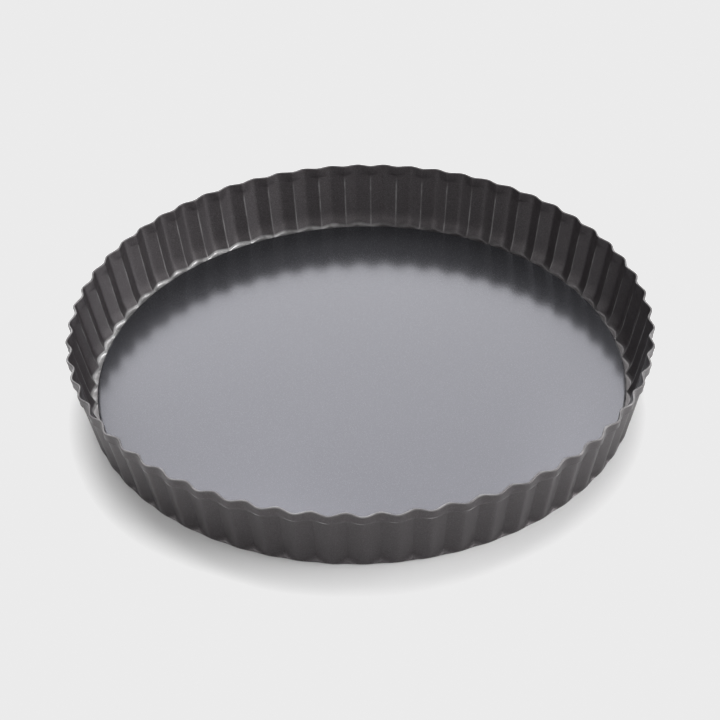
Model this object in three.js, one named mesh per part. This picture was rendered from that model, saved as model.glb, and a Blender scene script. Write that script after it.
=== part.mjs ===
// Loose-bottomed fluted tart pan.
// Millimetres, +Z up. The origin is the centre of the table plane the pan stands on.
//
// Two separate pieces of coated sheet steel:
//   fluted_ring  one pressed sheet: a flat inward ledge at the bottom, a flared wall with
//                vertical flutes, and a hem folded flat against the outside of the rim
//   loose_base   a flat disc that drops in from above and rests on the ledge

import * as THREE from "three";

// ---- driving dimensions -------------------------------------------------------------
const RIM_RADIUS = 140;          // outside of the hem, on the bulge of a flute
const HEIGHT = 35;               // table to the top of the rim
const FLUTES = 60;               // outward bulges round the wall, one on each of +-X and +-Y
const SHEET = 0.5;               // thickness of the ring's sheet
const HEM_FOLD = 0.55;           // how far the folded hem stands out from the wall
const HEM_HEIGHT = 5;            // height of the hem below the rim
const BOTTOM_RADIUS = 133.1;     // outside of the wall on a bulge, produced down to the table
const WALL_DEPTH = 2.1;          // bulge to crease on the wall
const RIM_DEPTH = 2.3;           // bulge to crease inside at the rim
const HEM_DEPTH = 1.9;           // bulge to crease on the hem, which bridges the creases
const RIM_DIP = 0.4;             // the rim stands this much lower on the bulges
const FOOT_DEPTH = 0.75;         // bulge to crease outside at the foot, where the flutes run out
const FOOT_HEIGHT = 4.2;         // the outside has its full flutes from here up
const FOLD_HEIGHT = 0.5;         // the fold starts to turn this far below the rim
const BEND = 1.5;                // outside radius of the bend from wall to ledge
const LEDGE_INNER_RADIUS = 120;  // round opening in the ledge, under the base
const BASE_RADIUS = 128.9;       // loose base
const BASE_SHEET = 0.8;          // thickness of the base
const BASE_EDGE = 0.2;           // broken edge of the base
const SEAT_GAP = 0.05;           // air between the ledge and the base
const STEPS_PER_FLUTE = 6;
const BASE_SEGMENTS = 180;

// ---- flutes --------------------------------------------------------------------------
// Share of the full flute depth at phase u: 1 in the crease (u = 0), 0 on the bulge (u = pi).
// "straight" has flat flanks, as on the wall. "wavy" is rounder, as where the sheet is folded.
const straight = (u) => {
  const turns = Math.abs(u / (2 * Math.PI)) % 1;
  return 1 - 2 * Math.min(turns, 1 - turns);
};
const wavy = (u) => (1 + Math.cos(u)) / 2;

function wallRadius(z) {
  const top = RIM_RADIUS - HEM_FOLD;
  return BOTTOM_RADIUS + ((top - BOTTOM_RADIUS) * z) / (HEIGHT - FOLD_HEIGHT);
}

const wallInset = (u) => WALL_DEPTH * straight(u);
const rimInset = (u) => RIM_DEPTH * wavy(u);
const hemInset = (u) => HEM_DEPTH * wavy(u);
const footInset = (u) => FOOT_DEPTH * wavy(u);
const rimDip = (u) => RIM_DIP * (1 - wavy(u));

// ---- fluted ring ---------------------------------------------------------------------
// The cross-section runs anticlockwise in (radius, height). "out" is the offset from the
// outside of the wall, "inset" is how deep the flute is there, "dip" is how much of the rim's
// dip applies, and points on the opening's edge have a plain radius instead.
const hemFoot = HEIGHT - HEM_HEIGHT;
const foldFoot = HEIGHT - FOLD_HEIGHT;
const section = [
  { z: 0, radius: LEDGE_INNER_RADIUS },
  { z: 0, out: -BEND, inset: footInset },
  { z: 0.35 * BEND, out: -0.3 * BEND, inset: footInset },
  { z: BEND, out: 0, inset: footInset },
  { z: FOOT_HEIGHT, out: 0, inset: wallInset },
  { z: hemFoot, out: 0, inset: wallInset, dip: 0.3 },
  { z: hemFoot, out: HEM_FOLD, inset: hemInset, dip: 0.3 },
  { z: foldFoot, out: HEM_FOLD, inset: hemInset, dip: 1 },
  { z: HEIGHT, out: HEM_FOLD - 0.4, inset: hemInset, dip: 1 },
  { z: HEIGHT, out: 0.35 - SHEET, inset: rimInset, dip: 1 },
  { z: foldFoot, out: -SHEET, inset: rimInset, dip: 1 },
  { z: hemFoot, out: -SHEET, inset: wallInset, dip: 0.3 },
  { z: BEND + 0.3, out: -SHEET, inset: wallInset },
  { z: SHEET, out: -BEND - 0.3, inset: wallInset },
  { z: SHEET, radius: LEDGE_INNER_RADIUS },
];

function makeRing() {
  const columns = FLUTES * STEPS_PER_FLUTE;
  const rows = section.length;
  const position = new Float32Array(columns * rows * 3);
  for (let i = 0; i < columns; i += 1) {
    const angle = (i / columns) * Math.PI * 2;
    const u = angle * FLUTES + Math.PI; // bulge at angle 0
    for (let j = 0; j < rows; j += 1) {
      const p = section[j];
      const r = p.radius ?? wallRadius(Math.min(p.z, foldFoot)) + p.out - p.inset(u);
      const at = (i * rows + j) * 3;
      position[at] = r * Math.cos(angle);
      position[at + 1] = r * Math.sin(angle);
      position[at + 2] = p.z - (p.dip ?? 0) * rimDip(u);
    }
  }
  const index = [];
  for (let i = 0; i < columns; i += 1) {
    const next = (i + 1) % columns;
    for (let j = 0; j < rows; j += 1) {
      const up = (j + 1) % rows;
      const a = i * rows + j;
      const b = next * rows + j;
      const c = next * rows + up;
      const d = i * rows + up;
      index.push(a, b, c, a, c, d);
    }
  }
  const geometry = new THREE.BufferGeometry();
  geometry.setAttribute("position", new THREE.BufferAttribute(position, 3));
  geometry.setIndex(index);
  geometry.computeVertexNormals();
  return geometry;
}

// ---- loose base ----------------------------------------------------------------------
function makeBase() {
  const r = BASE_RADIUS;
  const e = BASE_EDGE;
  const t = BASE_SHEET;
  const profile = [
    new THREE.Vector2(0, 0),
    new THREE.Vector2(r - e, 0),
    new THREE.Vector2(r, e),
    new THREE.Vector2(r, t - e),
    new THREE.Vector2(r - e, t),
    new THREE.Vector2(0, t),
  ];
  const geometry = new THREE.LatheGeometry(profile, BASE_SEGMENTS);
  geometry.rotateX(Math.PI / 2); // lathe axis from +Y to +Z
  return geometry;
}

// ---- materials -----------------------------------------------------------------------
const ringCoat = new THREE.MeshStandardMaterial({ color: 0x3a3a3b, roughness: 0.42, metalness: 0.35 });
const baseCoat = new THREE.MeshStandardMaterial({ color: 0x46474a, roughness: 0.38, metalness: 0.35 });

// ---- assembly ------------------------------------------------------------------------
const pan = new THREE.Group();

const flutedRing = new THREE.Mesh(makeRing(), ringCoat);
flutedRing.name = "fluted_ring";
pan.add(flutedRing);

const looseBase = new THREE.Mesh(makeBase(), baseCoat);
looseBase.name = "loose_base";
looseBase.position.z = SHEET + SEAT_GAP;
pan.add(looseBase);

export default pan;
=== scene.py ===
"""Looks for a loose-bottomed fluted tart pan: a folded sheet ring and the disc that drops in.

The pan stands on the floor at z = 0 with its axis on Z; -Y is the front, where the camera stands.
Shapes are worked out in millimetres, the scene is in metres. Angles run anticlockwise from +X.
"""

import math

import bpy
import numpy as np
from mathutils import Matrix, Vector


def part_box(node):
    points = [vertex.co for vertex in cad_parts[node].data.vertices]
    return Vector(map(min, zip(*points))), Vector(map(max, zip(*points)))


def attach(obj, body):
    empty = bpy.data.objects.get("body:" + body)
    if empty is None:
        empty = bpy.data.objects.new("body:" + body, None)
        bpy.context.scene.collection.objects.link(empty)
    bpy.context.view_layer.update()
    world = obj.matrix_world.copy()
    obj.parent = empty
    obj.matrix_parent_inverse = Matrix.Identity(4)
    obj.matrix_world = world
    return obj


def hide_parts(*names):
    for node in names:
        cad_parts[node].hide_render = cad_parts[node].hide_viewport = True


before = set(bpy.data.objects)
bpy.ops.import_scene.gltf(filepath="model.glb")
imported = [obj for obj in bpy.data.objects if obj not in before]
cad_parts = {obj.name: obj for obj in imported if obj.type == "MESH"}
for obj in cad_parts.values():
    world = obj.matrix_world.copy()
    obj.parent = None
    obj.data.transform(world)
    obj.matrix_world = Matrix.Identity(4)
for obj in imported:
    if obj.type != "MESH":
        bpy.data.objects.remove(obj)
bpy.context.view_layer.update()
scene = bpy.context.scene

MM = 0.001

# ---------------------------------------------------------------- dimensions, in mm
ring_lo, ring_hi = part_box("fluted_ring")
base_lo, base_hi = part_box("loose_base")
RIM_R = (ring_hi[0] - ring_lo[0]) / 2 / MM      # outside of the hem on a bulge
HEIGHT = (ring_hi[2] - ring_lo[2]) / MM
BASE_R = (base_hi[0] - base_lo[0]) / 2 / MM
BASE_Z0 = base_lo[2] / MM
BASE_Z1 = base_hi[2] / MM

FLUTES = 60
SHEET = 0.5                           # thickness of the ring's sheet
HEM_Z = HEIGHT - 5.0                  # cut edge of the hem's flap
FOLD_GAP = 0.04                       # between the wall and the flap
FOLD_OUT = FOLD_GAP + SHEET           # from the wall to the outside of the flap
FOLD_H = 0.52                         # the fold over the top of the rim turns in this height
BOTTOM_R = 133.1                      # outside of the wall, carried down to z = 0
LEDGE_R = 120.0                       # opening in the ledge
LEDGE_CHAMFER = 0.13
BEND_IN = 0.95                        # inside of the bend from wall to ledge
BEND_OUT = 1.5                        # outside of it
RIM_DIP = 0.40                        # the rim stands a little lower on the bulges

# Flute depths, from bulge to crease
DEPTH_WALL, DEPTH_RIM = 2.05, 2.3     # on the wall, and inside at the rim
DEPTH_FLAP, DEPTH_CUT = 2.05, 1.55    # on the flap, at the fold and at its cut edge
DEPTH_FOOT = 0.42                     # outside at the foot, where the grooves run out
DEPTH_SEAT = 2.15                     # inside at the foot, almost down to the base
SEAT_IN = 1.05                        # the inside draws in this much at the foot, bulges too
HEM_STEP = 0.035                      # step the hem presses into the inside at the creases
LIP, LIP_FADE = 0.24, 0.38            # flare of the flap's cut edge, and the height it fades over

# Rounding of the crease and of the bulge, in half pitches
FLAT_SIDED = (0.03, 0.13)
GENTLE = (0.3, 0.5)
SEAT_ROUNDING = (0.06, 0.4)

# The outside of the wall tapers from the rim to the foot
TOP_R = RIM_R - SHEET - FOLD_GAP
SLOPE = (TOP_R - BOTTOM_R) / (HEIGHT - FOLD_H - RIM_DIP)
TILT = math.atan(SLOPE)


def crease(phase, tight, loose):
    """Share of the flute depth at a phase: 1 in the crease (0), 0 on the bulge (pi).

    tight rounds the crease and loose the bulge; the flanks between them are nearly flat.
    """
    x = np.linspace(0, 1, 401)
    slope = x / np.sqrt(x * x + tight * tight + 1e-9) * (1 - x) / np.sqrt((1 - x) ** 2 + loose * loose)
    drop = np.concatenate([[0], np.cumsum((slope[1:] + slope[:-1]) / 2)])
    from_crease = np.abs((phase + math.pi) % (2 * math.pi) - math.pi) / math.pi
    return np.interp(from_crease, x, 1 - drop / drop[-1])


def smooth(start, end, x):
    t = np.clip((x - start) / (end - start), 0, 1)
    return t * t * (3 - 2 * t)


def lerp(a, b, t):
    return a + (b - a) * t


def wall(z):
    """Outside radius of the wall on a bulge."""
    return BOTTOM_R + SLOPE * z


# ---------------------------------------------------------------- helpers
def link_object(name, data):
    ob = bpy.data.objects.new(name, data)
    scene.collection.objects.link(ob)
    return ob


def swept(angles, section, name, body, material):
    """Closed section swept round the axis.

    section has the radius, height, wear_and_sheen and shine of every point, at every angle.
    """
    columns, points = section.shape[:2]
    x = section[:, :, 0] * np.cos(angles)[:, None]
    y = section[:, :, 0] * np.sin(angles)[:, None]
    verts = np.stack([x, y, section[:, :, 1]], axis=2).reshape(-1, 3) * MM
    i = np.arange(columns)[:, None]
    j = np.arange(points)[None, :]
    next_i = (i + 1) % columns
    next_j = (j + 1) % points
    corners = [i * points + j, next_i * points + j, next_i * points + next_j, i * points + next_j]
    quads = np.stack(corners, axis=2).reshape(-1, 4)

    mesh = bpy.data.meshes.new(name)
    mesh.vertices.add(len(verts))
    mesh.vertices.foreach_set("co", verts.astype(np.float32).ravel())
    mesh.loops.add(quads.size)
    mesh.loops.foreach_set("vertex_index", quads.astype(np.int32).ravel())
    mesh.polygons.add(len(quads))
    mesh.polygons.foreach_set("loop_start", np.arange(0, quads.size, 4, dtype=np.int32))
    mesh.update(calc_edges=True)
    mesh.validate()
    mesh.polygons.foreach_set("use_smooth", np.ones(len(quads), dtype=bool))
    mesh.set_sharp_from_angle(angle=math.radians(32.0))
    for key, column in (("wear_and_sheen", 2), ("shine", 3)):
        attribute = mesh.attributes.new(key, "FLOAT", "POINT")
        attribute.data.foreach_set("value", section[:, :, column].astype(np.float32).ravel())
    mesh.materials.append(material)
    ob = link_object(name, mesh)
    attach(ob, body)
    return ob


class Nodes:
    """Shorthand for building the node tree of a material or a world."""

    def __init__(self, owner, output="ShaderNodeOutputMaterial"):
        self.owner = owner
        owner.use_nodes = True
        self.tree = owner.node_tree
        self.tree.nodes.clear()
        self.out = self.add(output)

    def add(self, kind, inputs=None, **props):
        node = self.tree.nodes.new(kind)
        for key, value in props.items():
            setattr(node, key, value)
        for key, value in (inputs or {}).items():
            self.set(node, key, value)
        return node

    def set(self, node, key, value):
        """Links a socket, or stores a plain value."""
        if isinstance(value, bpy.types.NodeSocket):
            self.tree.links.new(value, node.inputs[key])
        else:
            node.inputs[key].default_value = value

    def surface(self, shader):
        self.set(self.out, "Surface", shader.outputs[0])

    def math(self, operation, a, b, clamp=False):
        return self.add("ShaderNodeMath", {0: a, 1: b}, operation=operation, use_clamp=clamp).outputs[0]

    def swing(self, value, amount, middle=0.5, clamp=False):
        """How far a value is from its middle, scaled."""
        return self.math("MULTIPLY", self.math("SUBTRACT", value, middle), amount, clamp)

    def noise(self, position, scale, detail, roughness):
        inputs = {"Vector": position, "Scale": scale, "Detail": detail, "Roughness": roughness}
        return self.add("ShaderNodeTexNoise", inputs).outputs["Fac"]

    def attribute(self, name):
        return self.add("ShaderNodeAttribute", attribute_name=name).outputs["Fac"]

    def mix(self, factor, a, b):
        """Colour mix; sockets 6 and 7 are its two colours, output 2 the result."""
        inputs = {"Factor": factor, 6: a, 7: b}
        return self.add("ShaderNodeMix", inputs, data_type="RGBA").outputs[2]


# ---------------------------------------------------------------- materials
# greys for scuffed and burnished coating; they also paint in the highlights on the inner bend at the
# back left and on one flank of the hem's cut edge
WORN_AND_SHEEN_GREY = (0.30, 0.30, 0.30, 1)
RUBBED_AND_SHEEN_GREY = (0.5, 0.5, 0.5, 1)
FLECK_GREY = (0.35, 0.35, 0.37, 1)
WORN_AND_SHEEN_SHARE = 0.5                      # how far scuffed edges and painted sheen turn to the light grey
FLECK_SIZE = 0.22                     # radius of a fleck, in Voronoi cells
RUB_AND_SHEEN_ROUGH = 0.22                      # how much smoother the film is where it is burnished or carries painted sheen
RUB_AND_SHEEN_METAL = 0.5                       # and how much of the steel shows through there


def coat(name, albedo, rough, specular, tint, bump, fleck_strength):
    """Non-stick coated steel: dark film with orange peel, metallic flecks, scuffed edges and painted
    sheen.
    """
    k = Nodes(bpy.data.materials.new(name))
    position = k.add("ShaderNodeTexCoord").outputs["Object"]
    fine = k.noise(position, scale=1500.0, detail=2.0, roughness=0.6)
    peel = k.noise(position, scale=620.0, detail=1.5, roughness=0.5)
    cloud = k.noise(position, scale=16.0, detail=3.0, roughness=0.55)
    blotch = k.noise(position, scale=130.0, detail=2.0, roughness=0.5)
    patch = k.swing(blotch, amount=4.0, middle=0.42, clamp=True)

    # sparse bright grains in the film
    grain = k.add("ShaderNodeTexVoronoi", {"Vector": position, "Scale": 1700.0}, feature="F1")
    in_fleck = k.math("LESS_THAN", grain.outputs["Distance"], FLECK_SIZE)
    fleck = k.math("MULTIPLY", in_fleck, fleck_strength)

    # brightness of the film varies in clouds and in fine grain
    tone = k.math("ADD", k.swing(cloud, amount=0.25), 1.0)
    tone = k.math("ADD", tone, k.swing(fine, amount=0.5))
    film = k.add("ShaderNodeVectorMath", {0: albedo, "Scale": tone}, operation="SCALE").outputs[0]

    # scuffed edges, and painted highlights: the mesh marks its folds and cut edges, and lightens the
    # inner bend at the back left and one flank of the hem's cut edge where light falls on them
    worn_and_sheen = k.math("MULTIPLY", k.attribute("wear_and_sheen"), patch)
    share = k.math("ADD", WORN_AND_SHEEN_SHARE, k.swing(fine, amount=WORN_AND_SHEEN_SHARE))
    worn_and_sheen = k.math("MULTIPLY", worn_and_sheen, share, clamp=True)

    # burnished bends and ridges, and painted highlights on the inner bend at the back left and on the
    # hem's cut edge: a part everywhere, the rest in patches
    rub_and_sheen_share = k.math("ADD", 0.35, k.math("MULTIPLY", patch, 0.65))
    shine = k.math("MULTIPLY", k.attribute("shine"), rub_and_sheen_share, clamp=True)

    # painted highlights: both masks lighten the film towards grey, partly for scuffs and burnish,
    # partly as painted sheen where light falls
    colour = k.mix(worn_and_sheen, film, WORN_AND_SHEEN_GREY)
    colour = k.mix(shine, colour, RUBBED_AND_SHEEN_GREY)
    colour = k.mix(fleck, colour, FLECK_GREY)

    roughness = k.math("ADD", rough, k.swing(cloud, amount=0.06))
    roughness = k.math("ADD", roughness, k.swing(fine, amount=0.10))
    roughness = k.math("SUBTRACT", roughness, k.math("MULTIPLY", shine, RUB_AND_SHEEN_ROUGH))
    gloss = k.math("MULTIPLY", specular, k.math("ADD", 1.0, k.swing(fine, amount=0.9)))
    relief = k.add("ShaderNodeBump", {"Strength": 1.0, "Distance": bump, "Height": peel})
    k.surface(k.add("ShaderNodeBsdfPrincipled", {
        "Base Color": colour,
        "Roughness": roughness,
        "Metallic": k.math("MULTIPLY", shine, RUB_AND_SHEEN_METAL),
        "IOR": 1.5,
        "Specular IOR Level": gloss,
        "Specular Tint": (*tint, 1),
        "Normal": relief.outputs[0],
    }))
    return k.owner


ring_mat = coat("ring_coat", albedo=(0.0122, 0.0104, 0.0112), rough=0.41, specular=0.52,
                tint=(1.02, 0.955, 0.985), bump=0.000010, fleck_strength=0.10)
base_mat = coat("base_coat", albedo=(0.0242, 0.0244, 0.0270), rough=0.17, specular=0.5,
                tint=(0.96, 0.965, 1.10), bump=0.000006, fleck_strength=0.08)


# ---------------------------------------------------------------- the fluted ring
class RingSection:
    """Cross-section of the ring's sheet at each angle, anticlockwise from the ledge's opening."""

    # Points round the flap's cut edge: height the radius is taken at, offset from the wall and
    # height of the point (both heights above HEM_Z), wear_and_sheen, and whether the point takes the
    # painted glint on one flank
    FLAP_EDGE = (
        (0.6, FOLD_GAP, 0.6, 0.0, 0),
        (0.0, FOLD_GAP + 0.06, 0.0, 0.1, 0),
        (0.0, FOLD_OUT - 0.14, 0.0, 0.3, 0),
        (0.0, FOLD_OUT - 0.04, 0.05, 0.15, 1),
        (0.12, FOLD_OUT, 0.14, 0.10, 1),
        (0.32, FOLD_OUT, 0.32, 0.1, 0),
        (0.6, FOLD_OUT, 0.6, 0.0, 0),
        (1.1, FOLD_OUT, 1.1, 0.0, 0),
        (2.2, FOLD_OUT, 2.2, 0.0, 0),
    )

    def __init__(self, angles):
        self.count = len(angles)
        self.degrees = np.degrees(angles)
        self.phase = angles * FLUTES + math.pi          # a bulge lies on +X
        self.straight = crease(self.phase, *FLAT_SIDED)
        self.wavy = (1 + np.cos(self.phase)) / 2        # rounder, where the sheet is folded
        self.points = []

    def add(self, r, z, wear_and_sheen=0.0, shine=0.0):
        values = [np.broadcast_to(v, self.count) for v in (r, z, wear_and_sheen, shine)]
        self.points.append(np.stack(values, axis=1).astype(float))

    def inset(self, z, extra=0.0):
        """Depth of the wall's flutes, deeper and rounder towards the rim."""
        t = smooth(HEM_Z - 1.0, HEIGHT - 1.2, z)
        shape = lerp(self.straight, self.wavy, 0.7 * t)
        return lerp(DEPTH_WALL, DEPTH_RIM, t) * shape + extra * self.straight

    def seat(self, z):
        """Inside depth: the same as the wall's, and deeper and rounder towards the foot."""
        t = 1 - smooth(0.5, 7.5, z)
        return lerp(self.inset(z), SEAT_IN + DEPTH_SEAT * crease(self.phase, *SEAT_ROUNDING), t)

    def runout(self, z):
        """Outside depth: the grooves run out towards a nearly round foot."""
        t = smooth(0.2, 4.2, z)
        return lerp(DEPTH_FOOT * crease(self.phase, *GENTLE), DEPTH_WALL * self.straight, t)

    def flap(self, z, offset):
        """Radius on the flap: it bridges the creases a little and flares at its cut edge."""
        lip = LIP * math.exp(-max(z - HEM_Z, 0.0) / LIP_FADE)
        depth = lerp(DEPTH_CUT, DEPTH_FLAP, smooth(HEM_Z, HEIGHT - 1, z))
        return wall(z) + offset + lip - depth * self.wavy

    def bend(self, radius, floor_z, depth, turns, wear_and_sheen=0.0, shine=0.0):
        """Arc between ledge (turn 0) and wall (turn 1)."""
        centre = wall(0) - depth - (radius + floor_z) * (1 - math.sin(TILT)) / math.cos(TILT)
        for t in turns:
            a = t * (math.pi / 2 - TILT)
            self.add(centre + radius * math.sin(a), floor_z + radius * (1 - math.cos(a)), wear_and_sheen, shine)

    def outside(self):
        """Underside of the ledge, outer bend and wall, up into the slot behind the flap."""
        self.add(LEDGE_R, LEDGE_CHAMFER, 0.8)
        self.add(LEDGE_R + LEDGE_CHAMFER, 0.0, 0.5)
        for r in (LEDGE_R + 1.5, 123.0, 126.0):
            self.add(r, 0.0)
        self.bend(BEND_OUT, 0.0, self.runout(0.0), np.linspace(0, 1, 7))
        for z in (1.6, 2.2, 2.9, 3.6, 4.4, 6.5, 11.0, 17.0, 23.0, HEM_Z - 0.9):
            self.add(wall(z) - self.runout(z), z)
        for z in (HEM_Z - 0.15, HEM_Z + 0.6):
            self.add(wall(z) - self.inset(z), z)

    def hem(self):
        """The flap, and the fold over the top of the rim."""
        # Painted highlight: the cut edge is lightened and glossed on one flank of each flute, where
        # light catches it: the clockwise one, and the anticlockwise one from about 283 degrees on to +X
        turn = (self.phase / (2 * math.pi)) % 1.0
        flank = lerp(0.36, 0.66, smooth(278.0, 288.0, self.degrees % 360))
        painted_glint = np.exp(-((turn - flank) / 0.13) ** 2)
        for radius_rise, offset, rise, wear_and_sheen, takes_glint in self.FLAP_EDGE:
            r = self.flap(HEM_Z + radius_rise, offset)
            # the painted glint adds grey and gloss to the flank that catches the light
            self.add(r, HEM_Z + rise, wear_and_sheen + 0.25 * takes_glint * painted_glint, 0.6 * takes_glint * painted_glint)
        self.add(self.flap(HEIGHT - 1.1, FOLD_OUT), HEIGHT - 1.1)

        fold_z = HEIGHT - FOLD_H
        outer = self.flap(fold_z, FOLD_OUT)
        inner = wall(fold_z) - SHEET - self.inset(fold_z)
        middle = (outer + inner) / 2
        half = (outer - inner) / 2
        for a in np.linspace(0, math.pi, 13):
            rise = math.sin(a)
            self.add(middle + half * math.cos(a), fold_z + FOLD_H * rise, 0.05 * rise, 0.30 * rise)

    def inside(self):
        """Inside of the wall, inner bend and top of the ledge, back to the opening."""
        for step, heights in (
            (HEM_STEP, (HEIGHT - 1.2, HEIGHT - 2.4, HEM_Z + 0.9, HEM_Z + 0.25)),
            (-HEM_STEP, (HEM_Z - 0.12, HEM_Z - 0.6)),
        ):
            for z in heights:
                self.add(wall(z) - SHEET - self.inset(z, step), z)
        ridge = 0.18 * smooth(0.94, 1.0, self.straight)
        for z in (26.0, 20.0, 14.0, 9.0, 6.5, 4.2, 2.4):
            self.add(wall(z) - SHEET - self.seat(z), z, 0.0, ridge)

        # painted highlight: the inner bend and ledge are lightened and glossed most round 148 degrees,
        # at the back left, where the light from the right falls on them; the coating is a little
        # scuffed all round
        rub_and_painted_sheen = 0.10 + 0.90 * np.exp(-((self.degrees - 148.0) / 52.0) ** 4)
        # the bend and ledge take this painted highlight through both masks
        self.bend(BEND_IN, SHEET, self.seat(0.0), np.linspace(1, 0, 10), 0.3 * rub_and_painted_sheen, rub_and_painted_sheen)
        for r, share in ((128.0, 0.4), (125.0, 0.2), (LEDGE_R + 1.5, 0.1)):
            self.add(r, SHEET, share * rub_and_painted_sheen, share * rub_and_painted_sheen)
        self.add(LEDGE_R + LEDGE_CHAMFER, SHEET, 0.5)
        self.add(LEDGE_R, SHEET - LEDGE_CHAMFER, 0.8)

    def build(self):
        self.outside()
        self.hem()
        self.inside()
        section = np.stack(self.points, axis=1)
        near_rim = smooth(HEM_Z - 2.0, HEIGHT - 1.0, section[:, :, 1])
        section[:, :, 1] -= RIM_DIP * (1 - self.wavy[:, None]) * near_rim
        return section


def flute_angles():
    """Angles round the ring, closer at the creases and bulges, from the first crease past +X."""
    # half a flute, from the crease (0) towards the bulge (1), then its mirror image
    half = np.array([0, 0.03, 0.07, 0.13, 0.26, 0.45, 0.62, 0.74, 0.84, 0.92])
    flute = np.concatenate([half, 1 + (1 - np.append(half[1:], 1.0))[::-1]]) / 2
    turn = np.concatenate([i + flute for i in range(FLUTES)]) / FLUTES
    return turn * 2 * np.pi + math.pi / FLUTES


ring_angles = flute_angles()
ring = swept(ring_angles, RingSection(ring_angles).build(),
             "fluted_ring_sheet", "ring", ring_mat)
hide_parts("fluted_ring")


# ---------------------------------------------------------------- the loose base
def base_section(columns):
    """A flat disc: the top edge is rolled over, and the lower edge is nearly square."""
    roll_w, roll_h, chamfer = 0.95, 0.42, 0.1
    radii = (0.02, 20, 45, 70, 95, 115, 124)      # a pinhole at the centre closes the sweep
    points = [(r, BASE_Z0, 0.0) for r in (*radii, BASE_R - 1.2)]    # radius, height, wear
    points.append((BASE_R - chamfer, BASE_Z0, 0.4))
    points.append((BASE_R, BASE_Z0 + chamfer, 0.8))
    for a in np.linspace(0, math.pi / 2, 9):
        r = BASE_R - roll_w + roll_w * math.cos(a)
        z = BASE_Z1 - roll_h + roll_h * math.sin(a)
        points.append((r, z, 0.75 * math.cos(a) ** 0.5))
    points += [(r, BASE_Z1, 0.0) for r in (BASE_R - 1.6, *reversed(radii))]
    section = np.zeros((columns, len(points), 4))
    section[:, :, :3] = points
    return section


BASE_COLUMNS = 720
base = swept(np.arange(BASE_COLUMNS) / BASE_COLUMNS * 2 * math.pi, base_section(BASE_COLUMNS),
             "loose_base_disc", "base", base_mat)
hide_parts("loose_base")


# ---------------------------------------------------------------- floor
def build_floor(half_side=30.0):
    paper = Nodes(bpy.data.materials.new("floor_paper"))
    paper.surface(paper.add("ShaderNodeBsdfDiffuse", {"Color": (0.83, 0.83, 0.83, 1)}))
    mesh = bpy.data.meshes.new("floor")
    corners = [(x * half_side, y * half_side, 0) for x, y in ((-1, -1), (1, -1), (1, 1), (-1, 1))]
    mesh.from_pydata(corners, [], [(0, 1, 2, 3)])
    mesh.materials.append(paper.owner)
    link_object("floor", mesh)


build_floor()

# ---------------------------------------------------------------- studio light
FLOOR_RADIANCE = 0.832                # pale grey of the backdrop
LIGHT_DISTANCE = 6.0


def build_world():
    """Almost dark for the lighting, pale grey where the camera sees it."""
    k = Nodes(bpy.data.worlds.new("studio"), "ShaderNodeOutputWorld")
    scene.world = k.owner
    ambient, backdrop = (
        k.add("ShaderNodeBackground", {"Color": (1, 1, 1, 1), "Strength": strength}).outputs[0]
        for strength in (0.01, FLOOR_RADIANCE)
    )
    seen = k.add("ShaderNodeLightPath").outputs["Is Camera Ray"]
    k.surface(k.add("ShaderNodeMixShader", {0: seen, 1: ambient, 2: backdrop}))


def softbox(name, azimuth, elevation, width, height, radiance):
    """A rectangular area light aimed at the pan. radiance is what a reflection shows."""
    az, el = math.radians(azimuth), math.radians(elevation)
    away = Vector((math.cos(az) * math.cos(el), math.sin(az) * math.cos(el), math.sin(el)))
    light = bpy.data.lights.new(name, "AREA")
    light.shape = "RECTANGLE"
    light.size = width
    light.size_y = height
    light.energy = radiance * math.pi * width * height
    ob = link_object(name, light)
    ob.location = away * LIGHT_DISTANCE
    ob.rotation_euler = away.to_track_quat("Z", "Y").to_euler()


def panel(name, az0, az1, el0, el1, radiance):
    """A softbox that covers this range of azimuth and elevation, seen from the pan."""
    az, el = (az0 + az1) / 2, (el0 + el1) / 2
    reach = 2 * LIGHT_DISTANCE
    width = reach * math.tan(math.radians((az1 - az0) / 2)) * math.cos(math.radians(el))
    height = reach * math.tan(math.radians((el1 - el0) / 2))
    softbox(name, az, el, width, height, radiance)


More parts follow.
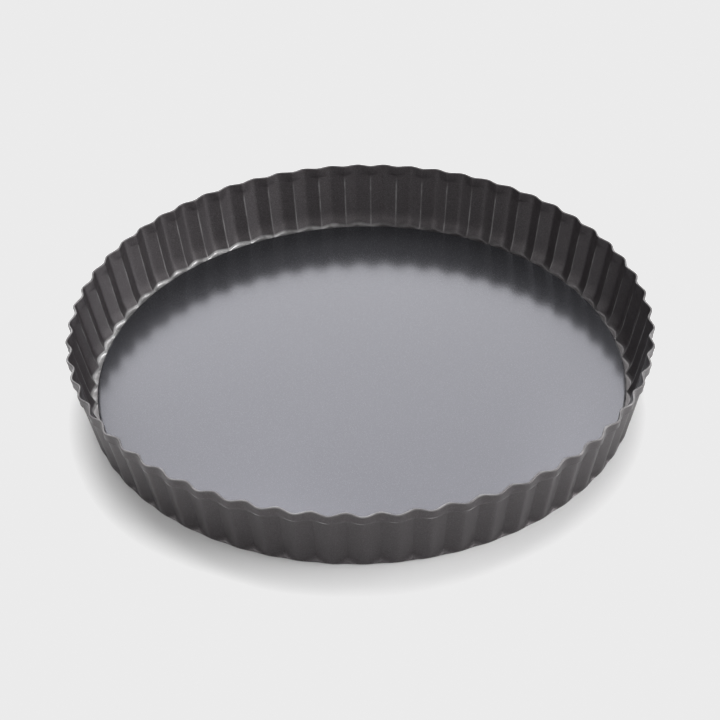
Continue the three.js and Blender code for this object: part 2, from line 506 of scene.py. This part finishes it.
# Name, azimuth from and to, elevation from and to (degrees; azimuth 90 is +Y), radiance
PANELS = (
    ("key_low_right", 68, 80, 24, 36, 3.9),
    ("key_mid_right", 68, 80, 36, 48, 5.1),
    ("key", 80, 104, 24, 48, 5.15),
    ("key_low_left", 104, 116, 24, 36, 13.2),
    ("key_high_right", 40, 90, 48, 60, 5.7),
    ("key_high_left", 90, 140, 48, 60, 10.8),
    ("back_top", 40, 140, 60, 74, 2.9),
    ("over_back", 45, 135, 74, 82, 4.9),
    ("right_strip_front", -30, -15, 4, 14, 10.7),
    ("right_strip_mid", -15, 0, 4, 14, 10.4),
    ("right_strip_back", 0, 20, 4, 14, 7.1),
    ("right_box_front", -30, -15, 14, 26, 9.0),
    ("right_box_mid", -15, 0, 14, 26, 15.2),
    ("right_box_back", 0, 20, 14, 26, 11.9),
    ("right_upper", -30, 0, 26, 40, 4.4),
    ("right_front_fill", -60, -30, 4, 18, 6.8),
    ("right_top", -45, 45, 58, 76, 1.4),
    ("left_front_fill", 180, 240, 4, 25, 4.6),
    ("left_back_fill", 130, 200, 25, 55, 0.8),
    ("front_fill", 240, 300, 4, 25, 2.6),
)

build_world()
for row in PANELS:
    panel(*row)
softbox("overhead", azimuth=90, elevation=90, width=2.116, height=2.116, radiance=2.2)

# ---------------------------------------------------------------- camera
LENS, SENSOR = 81.386285, 36.0        # mm
PITCH, ROLL = 0.6615386, 0.0286923    # looking down, and tipped about the view axis (radians)
SPIN = math.radians(0.419)            # whole camera turned about the pan's axis
PIVOT = Vector((0, 0, 0.035))         # point on the pan's axis that places the camera
# Where the pivot lies from the camera: to its right, above its view axis and ahead of it
PIVOT_RIGHT, PIVOT_UP, PIVOT_AHEAD = -0.0001385608, 0.0215161044, 0.77906976


def build_camera():
    cos_p, sin_p = math.cos(PITCH), math.sin(PITCH)
    cos_r, sin_r = math.cos(ROLL), math.sin(ROLL)
    right = Vector((cos_r, -sin_r * sin_p, -sin_r * cos_p))
    up = Vector((sin_r, cos_r * sin_p, cos_r * cos_p))
    ahead = Vector((0, cos_p, -sin_p))
    eye = PIVOT - PIVOT_RIGHT * right - PIVOT_UP * up - PIVOT_AHEAD * ahead
    pose = Matrix((right, up, -ahead)).transposed().to_4x4()
    pose.translation = eye
    camera = bpy.data.cameras.new("camera")
    camera.sensor_fit = "HORIZONTAL"
    camera.sensor_width = SENSOR
    camera.lens = LENS
    camera.clip_start = 0.01
    camera.clip_end = 200
    ob = link_object("camera", camera)
    ob.matrix_world = Matrix.Rotation(SPIN, 4, "Z") @ pose
    scene.camera = ob


def set_view():
    """Plain view; the backdrop is lit past white and levels off at a pale grey."""
    view = scene.view_settings
    view.view_transform = "Standard"
    view.look = "None"
    view.exposure = 0.0
    view.gamma = 1.0
    view.use_curve_mapping = True
    mapping = view.curve_mapping
    mapping.use_clip = False
    mapping.extend = "HORIZONTAL"
    for curve in mapping.curves:
        curve.points[0].location = (0.0, 0.0)
        curve.points[1].location = (FLOOR_RADIANCE, FLOOR_RADIANCE)
        for point in curve.points:
            point.handle_type = "VECTOR"
    mapping.update()


build_camera()
set_view()

bpy.context.view_layer.update()
